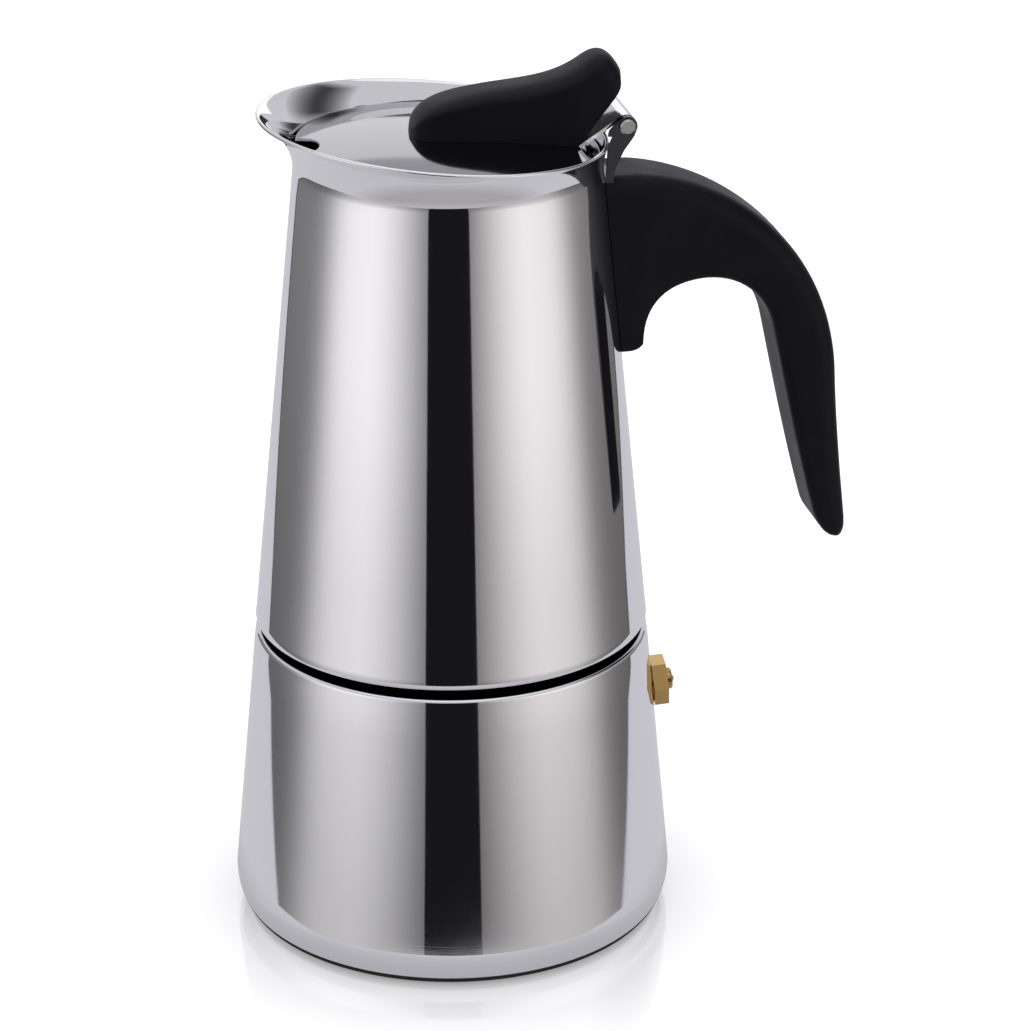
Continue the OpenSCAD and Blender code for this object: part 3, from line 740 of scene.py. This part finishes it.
# The far lower corner is cut round, from this height down over this drop, by up to this many degrees
CORNER_TOP = -93.0
CORNER_DROP = 307.0
CORNER_CUT = 56.0


def share_of(x, start, span):
    return min(1, max(0, (x - start) / span))


def mirrored(phi, z):
    """Angle and height at which the far wall shows in the boiler's wall, phi degrees from the camera's side."""
    a = math.radians(CAMERA_TURN + phi)
    lean = math.atan(BOILER_TAPER)
    spot = Vector((boiler_r(z) * math.cos(a), boiler_r(z) * math.sin(a), z))
    out = Vector((math.cos(a) * math.cos(lean), math.sin(a) * math.cos(lean), math.sin(lean)))
    ray = (spot - CAMERA / MM).normalized()
    ray = ray - 2 * ray.dot(out) * out
    flat = ray.x * ray.x + ray.y * ray.y
    toward = spot.x * ray.x + spot.y * ray.y
    inside = spot.x * spot.x + spot.y * spot.y - PANEL_R * PANEL_R
    end = spot + ray * ((math.sqrt(toward * toward - flat * inside) - toward) / flat)
    turn = math.degrees(math.atan2(end.y, end.x)) - CAMERA_TURN
    return (turn + 180) % 360 - 180, end.z


# Degrees of far wall seen in each degree of the boiler's wall
MIRROR_RATIO = mirrored(40, FOOT_H)[0] / 40


def panel_low(turn):
    """Lower edge of a panel: it shows at the boiler's foot, a little higher towards the sides."""
    phi = turn / MIRROR_RATIO
    return max(PANEL_FLOOR, mirrored(phi, FOOT_H + 10 * (phi / 75) ** 2)[1])


def panel_glow(turn, z):
    """Brightness: rising to the panel's brightest direction, fading beyond it, weaker near the table."""
    rise = math.sin(math.pi / 2 * share_of(turn, PANEL_START, PANEL_PEAK - PANEL_START)) ** 1.15
    fade = 1 / (1 + math.exp((turn - PANEL_FADE) / FADE_WIDTH))
    return min(mix(0.28, 1, rise), mix(0.21, 1, fade)) * mix(0.58, 1, share_of(z, -310, 265))


def panel(name, side, tint, end_shift):
    """A softbox wall bent round the pot on one side of the camera, lit unevenly as a real one is."""
    columns = 120
    rows = 40
    verts = []
    glows = []
    for i in range(columns + 1):
        share = i / columns
        low = panel_low(mix(PANEL_START, PANEL_END, share))
        for j in range(rows + 1):
            z = mix(low, PANEL_TOP, j / rows)
            corner = CORNER_CUT * share_of(-z, -CORNER_TOP, CORNER_DROP) ** 2.5
            end = PANEL_END - corner - end_shift * share_of(-z, 180, 60)
            turn = mix(PANEL_START, end, share)
            a = math.radians(CAMERA_TURN + side * turn)
            verts.append((PANEL_R * math.cos(a), PANEL_R * math.sin(a), z))
            frame_edge = 0.12 if i >= columns - 1 else 1
            glows.append(panel_glow(turn, z) * frame_edge)
    faces = []
    for i in range(columns):
        for j in range(rows):
            k = i * (rows + 1) + j
            faces.append((k, k + 1, k + rows + 2, k + rows + 1))
    mat, tree, glow = emission(name, tint, 1)
    obj = make_object(name, verts, faces, mat, sharp=None)
    shine(obj, tree, glow, [[g * t for t in tint] for g in glows])
    seen_by(obj, glossy=True)
    return obj


panel("panel_left", -1, (1.0, 0.985, 1.0), 0)
panel("panel_right", 1, (0.96, 0.93, 0.93), 7)


def card(name, turn, half, low, high, radius, glow):
    """A curved, evenly toned card at this angle from the camera's side, seen only in the steel."""
    verts = []
    steps = 16
    for i in range(steps + 1):
        a = math.radians(CAMERA_TURN + turn + mix(-half, half, i / steps))
        for z in (low, high):
            verts.append((radius * math.cos(a), radius * math.sin(a), z))
    faces = [(2 * i, 2 * i + 1, 2 * i + 3, 2 * i + 2) for i in range(steps)]
    obj = make_object(name, verts, faces, emission(name, glow, 1)[0], sharp=None)
    seen_by(obj, glossy=True)


card("dark_front", 0, 14.4, -303, PANEL_TOP, PANEL_R + 3, (0.009, 0.0085, 0.011))
card("dark_back", 180, 8, -300, PANEL_TOP, PANEL_R + 3, (0.03, 0.03, 0.035))


def soft_card(name, turn, half, low, high, radius, middle, edge):
    """A curved card whose tone runs smoothly from its middle to its edges."""
    verts = []
    glows = []
    steps = 32
    for i in range(steps + 1):
        a = math.radians(CAMERA_TURN + turn + mix(-half, half, i / steps))
        for j in range(steps + 1):
            verts.append((radius * math.cos(a), radius * math.sin(a), mix(low, high, j / steps)))
            across = math.sin(math.pi * i / steps) ** 0.8
            upward = min(1, math.sin(math.pi * j / steps) * 1.6)
            glows.append([mix(e, m, across * upward) for e, m in zip(edge, middle)])
    faces = []
    for i in range(steps):
        for j in range(steps):
            k = i * (steps + 1) + j
            faces.append((k, k + 1, k + steps + 2, k + steps + 1))
    mat, tree, glow = emission(name, middle, 1)
    obj = make_object(name, verts, faces, mat, sharp=None)
    shine(obj, tree, glow, glows)
    seen_by(obj, glossy=True)


soft_card("dark_high", 114, 34, 200, 1300, PANEL_R - 60, (0.05, 0.05, 0.055), (0.60, 0.595, 0.63))
card("rear_light", 180, 16, 330, 660, PANEL_R - 20, (1.1, 1.1, 1.13))


def disc(name, radius, z, material):
    verts = [(0, 0, z)]
    n = 96
    faces = []
    for j in range(n):
        a = TURN * j / n
        verts.append((radius * math.cos(a), radius * math.sin(a), z))
    for j in range(n):
        faces.append((0, 1 + j, 1 + (j + 1) % n))
    return make_object(name, verts, faces, material, sharp=None)


# The table's shine fades out, and its painted shade round the pot's base lifts, between these distances from
# the pot's axis
SHINE_FROM = 46
SHINE_TO = 95
FLOOR_R = 9000
# Small drops below the pot's base keep the flat discs apart
FLOOR_Z = -0.02
CONTACT_SHADOW_Z = -0.1
NEAR_TABLE_Z = -0.3

floor_mat, floor_tree, floor_shader = new_material("floor_paper")
floor_shader.inputs["Roughness"].default_value = 0.08
floor_shader.inputs["Emission Color"].default_value = (1, 1, 1, 1)
reach = add(floor_tree, "ShaderNodeVectorMath", operation="LENGTH")
floor_tree.links.new(object_coords(floor_tree, (1, 1, 1)), reach.inputs[0])
spread = add(floor_tree, "ShaderNodeMapRange")
spread.inputs["From Min"].default_value = SHINE_FROM * MM
spread.inputs["From Max"].default_value = SHINE_TO * MM
floor_tree.links.new(reach.outputs["Value"], spread.inputs["Value"])
gloss = ramp(floor_tree, spread.outputs["Result"], [(0.0, grey(1.0)), (0.4, grey(0.6)), (1.0, grey(0.0))])
floor_tree.links.new(gloss, floor_shader.inputs["Specular IOR Level"])
# Painted shade: the floor's glow is dimmed towards the pot's base
glow_with_painted_shade = ramp(floor_tree, spread.outputs["Result"], [(0.0, grey(0.28)), (0.4, grey(0.45)), (1.0, grey(0.66))])
floor_tree.links.new(glow_with_painted_shade, floor_shader.inputs["Emission Strength"])
floor_shader.inputs["IOR"].default_value = 1.9
floor_noise = add(floor_tree, "ShaderNodeTexNoise", Scale=1.0, Detail=3.0)
floor_tree.links.new(object_coords(floor_tree, (9, 9, 9)), floor_noise.inputs["Vector"])
floor_tree.links.new(
    ramp(floor_tree, floor_noise.outputs["Fac"], [(0.3, (0.52, 0.52, 0.52)), (0.7, (0.53, 0.53, 0.53))]),
    floor_shader.inputs["Base Color"],
)
floor = disc("floor", FLOOR_R, FLOOR_Z, floor_mat)
seen_by(floor, camera=True, diffuse=True, shadow=True)

# The table as the polished foot sees it: painted shadow, dark where the pot touches it, pale further out
near_mat, near_tree, near_glow = emission("near_table", (0.45, 0.44, 0.46), 1)
near_table = disc("near_table", 72, NEAR_TABLE_Z, near_mat)
rim_count = len(near_table.data.vertices) - 1
shine(near_table, near_tree, near_glow, [(0.12, 0.12, 0.13)] + [(0.61, 0.60, 0.645)] * rim_count)
seen_by(near_table, glossy=True)
# Painted contact shadow: a near-black disc under the foot, seen only in the steel
contact_shadow = disc("contact_shadow_painted", 48.8, CONTACT_SHADOW_Z, emission("contact_shadow_painted", (0.02, 0.02, 0.02), 1)[0])
seen_by(contact_shadow, glossy=True)

overhead = disc("overhead_light", 900, 1500, emission("overhead_light", (0.95, 0.95, 0.95), 1)[0])
seen_by(overhead, glossy=True)

BACKDROP_R = 8800
dome_rings = []
for k in range(13):
    a = math.radians(-6 + 96 * k / 12)
    r = max(BACKDROP_R * math.cos(a), 1)
    z = BACKDROP_R * math.sin(a)
    dome_rings.append([(r * math.cos(TURN * j / 48), r * math.sin(TURN * j / 48), z) for j in range(48)])
backdrop = loft("backdrop", dome_rings, emission("backdrop", (1.0, 1.0, 1.0), 1.0)[0], sharp=None, caps=False)
seen_by(backdrop, camera=True)

world = bpy.data.worlds.new("studio")
world.use_nodes = True
world_tree = world.node_tree
direction = add(world_tree, "ShaderNodeTexCoord")
split = add(world_tree, "ShaderNodeSeparateXYZ")
world_tree.links.new(direction.outputs["Generated"], split.inputs["Vector"])
half_up = add(world_tree, "ShaderNodeMath", operation="MULTIPLY_ADD")
half_up.inputs[1].default_value = 0.5
half_up.inputs[2].default_value = 0.5
world_tree.links.new(split.outputs["Z"], half_up.inputs[0])
# Pale paper below, a soft lavender-grey room above
sky = ramp(world_tree, half_up.outputs[0], [
    (0.0, (0.56, 0.55, 0.585)), (0.15, (0.60, 0.59, 0.63)), (0.33, (0.61, 0.60, 0.645)),
    (0.5, (0.62, 0.61, 0.66)), (1.0, (0.59, 0.59, 0.62)),
])
# Painted shade: the table in front of the pot, seen from below the rim, is a little darker
facing = add(world_tree, "ShaderNodeVectorMath", operation="DOT_PRODUCT")
facing.inputs[1].default_value = (math.cos(math.radians(CAMERA_TURN)), math.sin(math.radians(CAMERA_TURN)), 0)
world_tree.links.new(direction.outputs["Generated"], facing.inputs[0])
front = add(world_tree, "ShaderNodeMapRange")
front.inputs["From Min"].default_value = 0.12
front.inputs["From Max"].default_value = 0.50
world_tree.links.new(facing.outputs["Value"], front.inputs["Value"])
steep = add(world_tree, "ShaderNodeMapRange")
steep.inputs["From Min"].default_value = -0.35
steep.inputs["From Max"].default_value = -0.60
world_tree.links.new(split.outputs["Z"], steep.inputs["Value"])
painted_shade_share = add(world_tree, "ShaderNodeMath", operation="MULTIPLY")
world_tree.links.new(front.outputs["Result"], painted_shade_share.inputs[0])
world_tree.links.new(steep.outputs["Result"], painted_shade_share.inputs[1])
room = add(world_tree, "ShaderNodeMix", data_type="RGBA")
world_tree.links.new(painted_shade_share.outputs[0], room.inputs[0])
world_tree.links.new(sky, room.inputs[6])
room.inputs[7].default_value = (0.42, 0.41, 0.42, 1)
world_tree.links.new(room.outputs[2], world_tree.nodes["Background"].inputs["Color"])
world_tree.nodes["Background"].inputs["Strength"].default_value = 1.0
bpy.context.scene.world = world

key = bpy.data.lights.new("key", "AREA")
key.shape = "DISK"
key.size = 2.6
key.energy = 26
key_obj = bpy.data.objects.new("key", key)
key_obj.location = (-0.05, 0.0, 1.9)
key_obj.visible_glossy = False
bpy.context.scene.collection.objects.link(key_obj)

camera_data = bpy.data.cameras.new("camera")
camera_data.sensor_fit = "VERTICAL"
camera_data.sensor_height = SENSOR
camera_data.sensor_width = SENSOR
camera_data.lens = CAMERA_LENS
camera_data.clip_end = 50
camera = bpy.data.objects.new("camera", camera_data)
yaw = math.radians(CAMERA_YAW)
pitch = math.radians(CAMERA_PITCH)
look = Vector((math.sin(yaw) * math.cos(pitch), math.cos(yaw) * math.cos(pitch), -math.sin(pitch)))
camera.location = CAMERA
camera.rotation_euler = look.to_track_quat("-Z", "Y").to_euler()
bpy.context.scene.collection.objects.link(camera)
bpy.context.scene.camera = camera
bpy.context.scene.view_settings.view_transform = "Standard"
